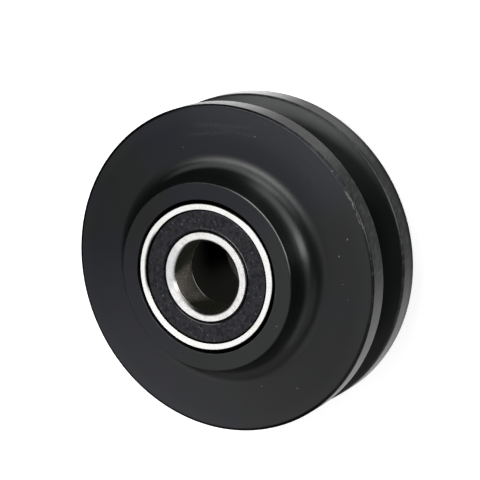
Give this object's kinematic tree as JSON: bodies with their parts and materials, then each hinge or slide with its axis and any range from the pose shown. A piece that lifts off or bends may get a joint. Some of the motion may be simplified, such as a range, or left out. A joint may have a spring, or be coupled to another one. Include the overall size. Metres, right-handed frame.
{
  "type": "v groove wheel",
  "caption": "Black plastic V groove wheel with a raised hub, turning on sealed ball bearings pressed into both ends of the hub.",
  "frame": {"origin": "centre of the wheel, on the axle line, midway between the flanges", "axes": "+Z along the axle line towards the front end of the hub; the wheel lies on the back end of its hub, and X and Y are alike"},
  "size_m": [0.07, 0.07, 0.034],
  "materials": {
    "wheel_plastic": "black nylon, satin, with faint turned lines and a few light scuffs",
    "bearing_steel": "ground bearing steel, bright, with fine ring lines",
    "ball_steel": "polished",
    "cage_steel": "pressed sheet, dull",
    "rivet_steel": "dull",
    "seal_rubber": "matt black moulded rubber, finely speckled",
    "core_steel": "plain pressed sheet"
  },
  "bodies": {
    "inner_rings": {"front_inner_ring": "bearing_steel", "back_inner_ring": "bearing_steel"},
    "wheel": {"wheel": "wheel_plastic", "front_outer_ring": "bearing_steel", "front_near_seal": "seal_rubber", "front_near_seal_core": "core_steel", "front_far_seal": "seal_rubber", "front_far_seal_core": "core_steel", "back_outer_ring": "bearing_steel", "back_near_seal": "seal_rubber", "back_near_seal_core": "core_steel", "back_far_seal": "seal_rubber", "back_far_seal_core": "core_steel"},
    "front_cage": {"front_cage_near_half": "cage_steel", "front_cage_far_half": "cage_steel", "front_cage_rivets": "rivet_steel"},
    "back_cage": {"back_cage_near_half": "cage_steel", "back_cage_far_half": "cage_steel", "back_cage_rivets": "rivet_steel"},
    "front_ball_1": {"front_ball_1": "ball_steel"},
    "front_ball_2": {"front_ball_2": "ball_steel"},
    "front_ball_3": {"front_ball_3": "ball_steel"},
    "front_ball_4": {"front_ball_4": "ball_steel"},
    "front_ball_5": {"front_ball_5": "ball_steel"},
    "front_ball_6": {"front_ball_6": "ball_steel"},
    "front_ball_7": {"front_ball_7": "ball_steel"},
    "front_ball_8": {"front_ball_8": "ball_steel"},
    "front_ball_9": {"front_ball_9": "ball_steel"},
    "back_ball_1": {"back_ball_1": "ball_steel"},
    "back_ball_2": {"back_ball_2": "ball_steel"},
    "back_ball_3": {"back_ball_3": "ball_steel"},
    "back_ball_4": {"back_ball_4": "ball_steel"},
    "back_ball_5": {"back_ball_5": "ball_steel"},
    "back_ball_6": {"back_ball_6": "ball_steel"},
    "back_ball_7": {"back_ball_7": "ball_steel"},
    "back_ball_8": {"back_ball_8": "ball_steel"},
    "back_ball_9": {"back_ball_9": "ball_steel"}
  },
  "joints": [
    {"name": "wheel_spin", "type": "hinge", "parent": "inner_rings", "child": "wheel", "pos_m": [0, 0, 0], "axis": [0, 0, 1], "continuous": true},
    {"name": "front_cage_spin", "type": "hinge", "parent": "inner_rings", "child": "front_cage", "pos_m": [0, 0, 0.0129], "axis": [0, 0, 1], "continuous": true},
    {"name": "back_cage_spin", "type": "hinge", "parent": "inner_rings", "child": "back_cage", "pos_m": [0, 0, -0.0129], "axis": [0, 0, 1], "continuous": true},
    {"name": "front_ball_1_spin", "type": "hinge", "parent": "front_cage", "child": "front_ball_1", "pos_m": [0.01175, 0, 0.0129], "axis": [0, 0, 1], "continuous": true},
    {"name": "front_ball_2_spin", "type": "hinge", "parent": "front_cage", "child": "front_ball_2", "pos_m": [0.009, 0.00755, 0.0129], "axis": [0, 0, 1], "continuous": true},
    {"name": "front_ball_3_spin", "type": "hinge", "parent": "front_cage", "child": "front_ball_3", "pos_m": [0.00204, 0.01157, 0.0129], "axis": [0, 0, 1], "continuous": true},
    {"name": "front_ball_4_spin", "type": "hinge", "parent": "front_cage", "child": "front_ball_4", "pos_m": [-0.00588, 0.01018, 0.0129], "axis": [0, 0, 1], "continuous": true},
    {"name": "front_ball_5_spin", "type": "hinge", "parent": "front_cage", "child": "front_ball_5", "pos_m": [-0.01104, 0.00402, 0.0129], "axis": [0, 0, 1], "continuous": true},
    {"name": "front_ball_6_spin", "type": "hinge", "parent": "front_cage", "child": "front_ball_6", "pos_m": [-0.01104, -0.00402, 0.0129], "axis": [0, 0, 1], "continuous": true},
    {"name": "front_ball_7_spin", "type": "hinge", "parent": "front_cage", "child": "front_ball_7", "pos_m": [-0.00588, -0.01018, 0.0129], "axis": [0, 0, 1], "continuous": true},
    {"name": "front_ball_8_spin", "type": "hinge", "parent": "front_cage", "child": "front_ball_8", "pos_m": [0.00204, -0.01157, 0.0129], "axis": [0, 0, 1], "continuous": true},
    {"name": "front_ball_9_spin", "type": "hinge", "parent": "front_cage", "child": "front_ball_9", "pos_m": [0.009, -0.00755, 0.0129], "axis": [0, 0, 1], "continuous": true},
    {"name": "back_ball_1_spin", "type": "hinge", "parent": "back_cage", "child": "back_ball_1", "pos_m": [0.01175, 0, -0.0129], "axis": [0, 0, 1], "continuous": true},
    {"name": "back_ball_2_spin", "type": "hinge", "parent": "back_cage", "child": "back_ball_2", "pos_m": [0.009, -0.00755, -0.0129], "axis": [0, 0, 1], "continuous": true},
    {"name": "back_ball_3_spin", "type": "hinge", "parent": "back_cage", "child": "back_ball_3", "pos_m": [0.00204, -0.01157, -0.0129], "axis": [0, 0, 1], "continuous": true},
    {"name": "back_ball_4_spin", "type": "hinge", "parent": "back_cage", "child": "back_ball_4", "pos_m": [-0.00588, -0.01018, -0.0129], "axis": [0, 0, 1], "continuous": true},
    {"name": "back_ball_5_spin", "type": "hinge", "parent": "back_cage", "child": "back_ball_5", "pos_m": [-0.01104, -0.00402, -0.0129], "axis": [0, 0, 1], "continuous": true},
    {"name": "back_ball_6_spin", "type": "hinge", "parent": "back_cage", "child": "back_ball_6", "pos_m": [-0.01104, 0.00402, -0.0129], "axis": [0, 0, 1], "continuous": true},
    {"name": "back_ball_7_spin", "type": "hinge", "parent": "back_cage", "child": "back_ball_7", "pos_m": [-0.00588, 0.01018, -0.0129], "axis": [0, 0, 1], "continuous": true},
    {"name": "back_ball_8_spin", "type": "hinge", "parent": "back_cage", "child": "back_ball_8", "pos_m": [0.00204, 0.01157, -0.0129], "axis": [0, 0, 1], "continuous": true},
    {"name": "back_ball_9_spin", "type": "hinge", "parent": "back_cage", "child": "back_ball_9", "pos_m": [0.009, 0.00755, -0.0129], "axis": [0, 0, 1], "continuous": true}
  ],
  "couplings": [
    {"joint": "front_cage_spin", "follows": "wheel_spin", "ratio": 0.60133},
    {"joint": "back_cage_spin", "follows": "wheel_spin", "ratio": 0.60133},
    {"joint": "front_ball_1_spin", "follows": "wheel_spin", "ratio": 2.3659},
    {"joint": "front_ball_2_spin", "follows": "wheel_spin", "ratio": 2.3659},
    {"joint": "front_ball_3_spin", "follows": "wheel_spin", "ratio": 2.3659},
    {"joint": "front_ball_4_spin", "follows": "wheel_spin", "ratio": 2.3659},
    {"joint": "front_ball_5_spin", "follows": "wheel_spin", "ratio": 2.3659},
    {"joint": "front_ball_6_spin", "follows": "wheel_spin", "ratio": 2.3659},
    {"joint": "front_ball_7_spin", "follows": "wheel_spin", "ratio": 2.3659},
    {"joint": "front_ball_8_spin", "follows": "wheel_spin", "ratio": 2.3659},
    {"joint": "front_ball_9_spin", "follows": "wheel_spin", "ratio": 2.3659},
    {"joint": "back_ball_1_spin", "follows": "wheel_spin", "ratio": 2.3659},
    {"joint": "back_ball_2_spin", "follows": "wheel_spin", "ratio": 2.3659},
    {"joint": "back_ball_3_spin", "follows": "wheel_spin", "ratio": 2.3659},
    {"joint": "back_ball_4_spin", "follows": "wheel_spin", "ratio": 2.3659},
    {"joint": "back_ball_5_spin", "follows": "wheel_spin", "ratio": 2.3659},
    {"joint": "back_ball_6_spin", "follows": "wheel_spin", "ratio": 2.3659},
    {"joint": "back_ball_7_spin", "follows": "wheel_spin", "ratio": 2.3659},
    {"joint": "back_ball_8_spin", "follows": "wheel_spin", "ratio": 2.3659},
    {"joint": "back_ball_9_spin", "follows": "wheel_spin", "ratio": 2.3659}
  ]
}
